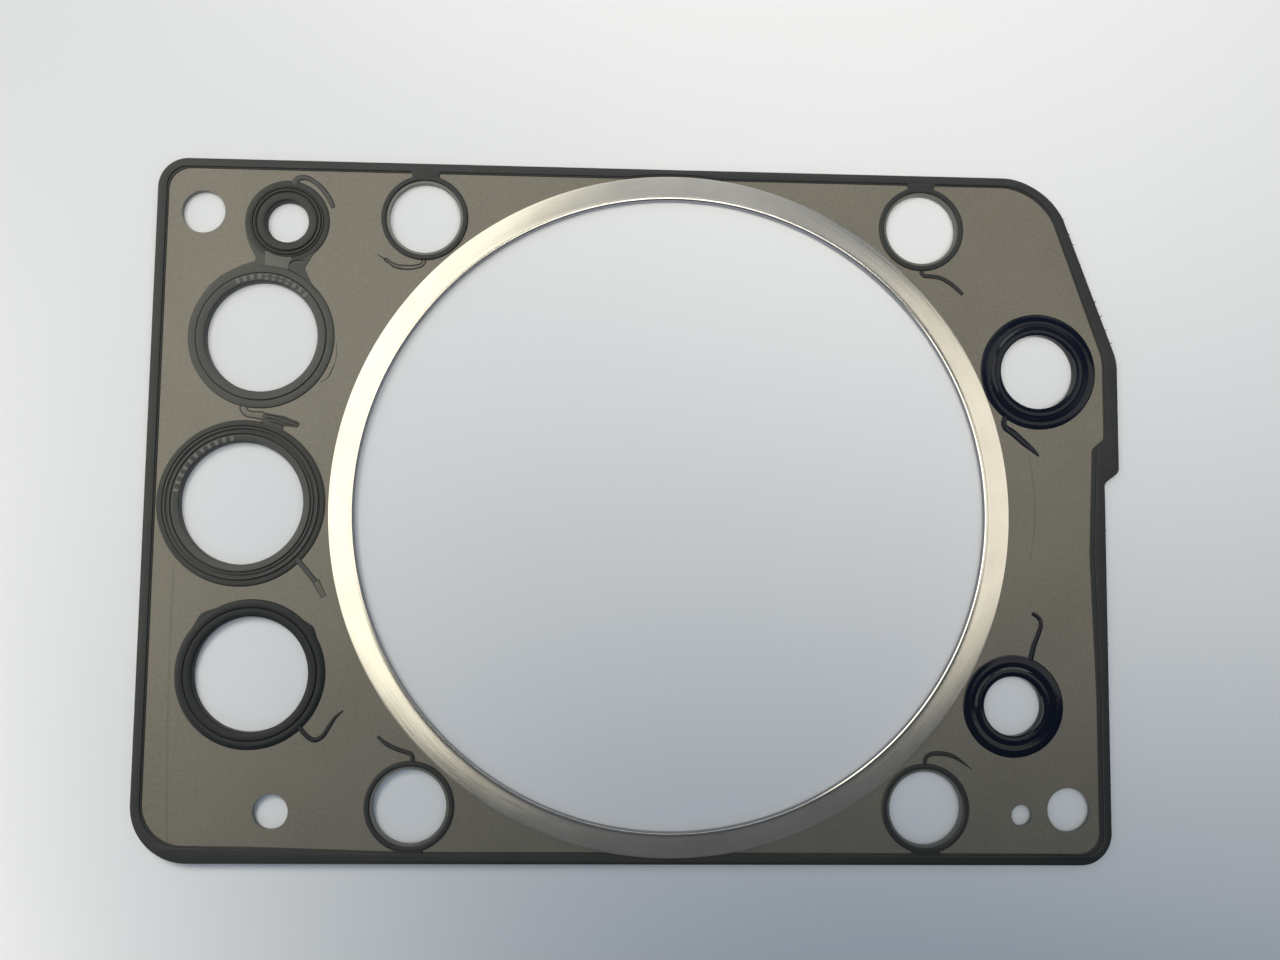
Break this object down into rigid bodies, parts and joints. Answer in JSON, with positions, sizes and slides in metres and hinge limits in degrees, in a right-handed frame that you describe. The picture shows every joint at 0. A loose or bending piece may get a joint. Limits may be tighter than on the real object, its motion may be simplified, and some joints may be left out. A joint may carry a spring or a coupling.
{
  "type": "cylinder head gasket",
  "caption": "Flat steel-carrier cylinder head gasket with a folded fire ring round the bore, moulded rubber seals round the ports and an edge band.",
  "frame": {"origin": "axis of the cylinder bore at the middle of the carrier plate's thickness", "axes": "+Z from the block towards the head along the bore, +X along the long side away from the large ports, +Y towards the side with the small port"},
  "size_m": [0.2018, 0.1438, 0.0022],
  "materials": {
    "coated_steel": "satin tan-grey coating on sheet steel",
    "stainless_ring": "bright rolled stainless sheet",
    "band_rubber": "matt moulded rubber",
    "port_rubber": "matt moulded rubber, a little greyer",
    "passage_rubber": "smooth moulded rubber with a slight gloss"
  },
  "bodies": {
    "root": {"carrier_plate": "coated_steel", "fire_ring": "stainless_ring", "edge_seal": "band_rubber", "twin_port_seal": "port_rubber", "middle_port_seal": "port_rubber", "lower_port_seal": "port_rubber", "upper_passage_seal": "passage_rubber", "lower_passage_seal": "passage_rubber"}
  },
  "joints": []
}
